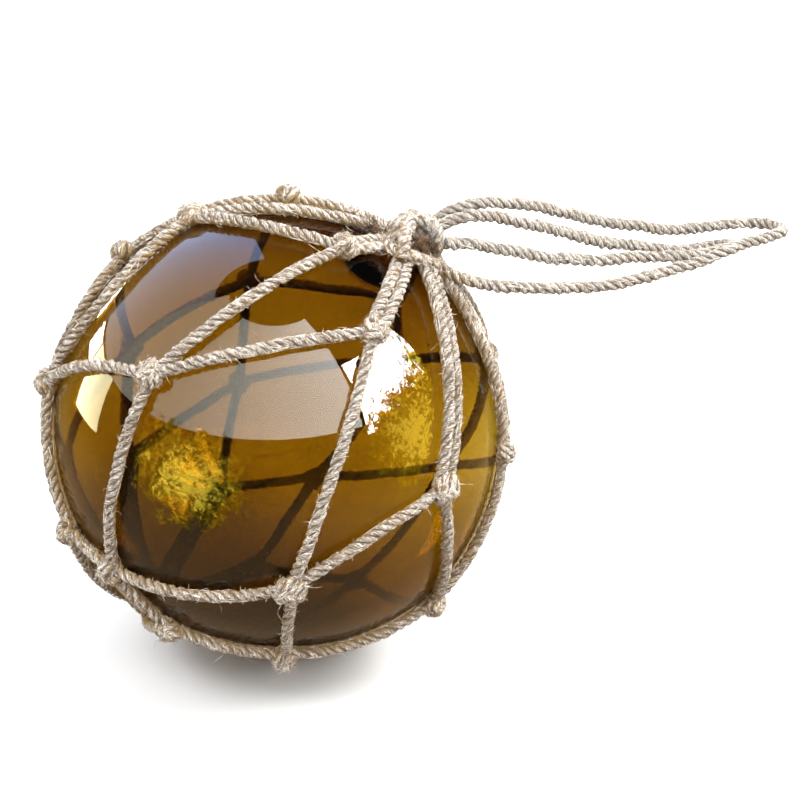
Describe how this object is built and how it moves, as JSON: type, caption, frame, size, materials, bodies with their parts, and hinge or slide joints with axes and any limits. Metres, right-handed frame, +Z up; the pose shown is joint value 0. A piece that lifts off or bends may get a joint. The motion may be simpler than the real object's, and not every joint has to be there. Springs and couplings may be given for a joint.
{
  "type": "glass float ball",
  "caption": "Sealed amber glass float ball in a hand-knotted jute cord net, with two cord loops at the crown to hang it by.",
  "frame": {"origin": "under the ball's centre, on the surface it rests on, at the middle of the small flat pressed into the net", "axes": "+Z up, -Y towards the front of the ball, +X towards the side that the net's crown and its loops lean over"},
  "size_m": [0.2113, 0.132, 0.1321],
  "materials": {
    "amber_glass": "glossy, clear, blown, with small bubbles",
    "jute_cord": "three-strand twisted cord, matt, sun-bleached and fraying"
  },
  "bodies": {
    "root": {"glass_ball": "amber_glass", "jute_net": "jute_cord", "hanging_loop_outer": "jute_cord", "hanging_loop_inner": "jute_cord"}
  },
  "joints": []
}
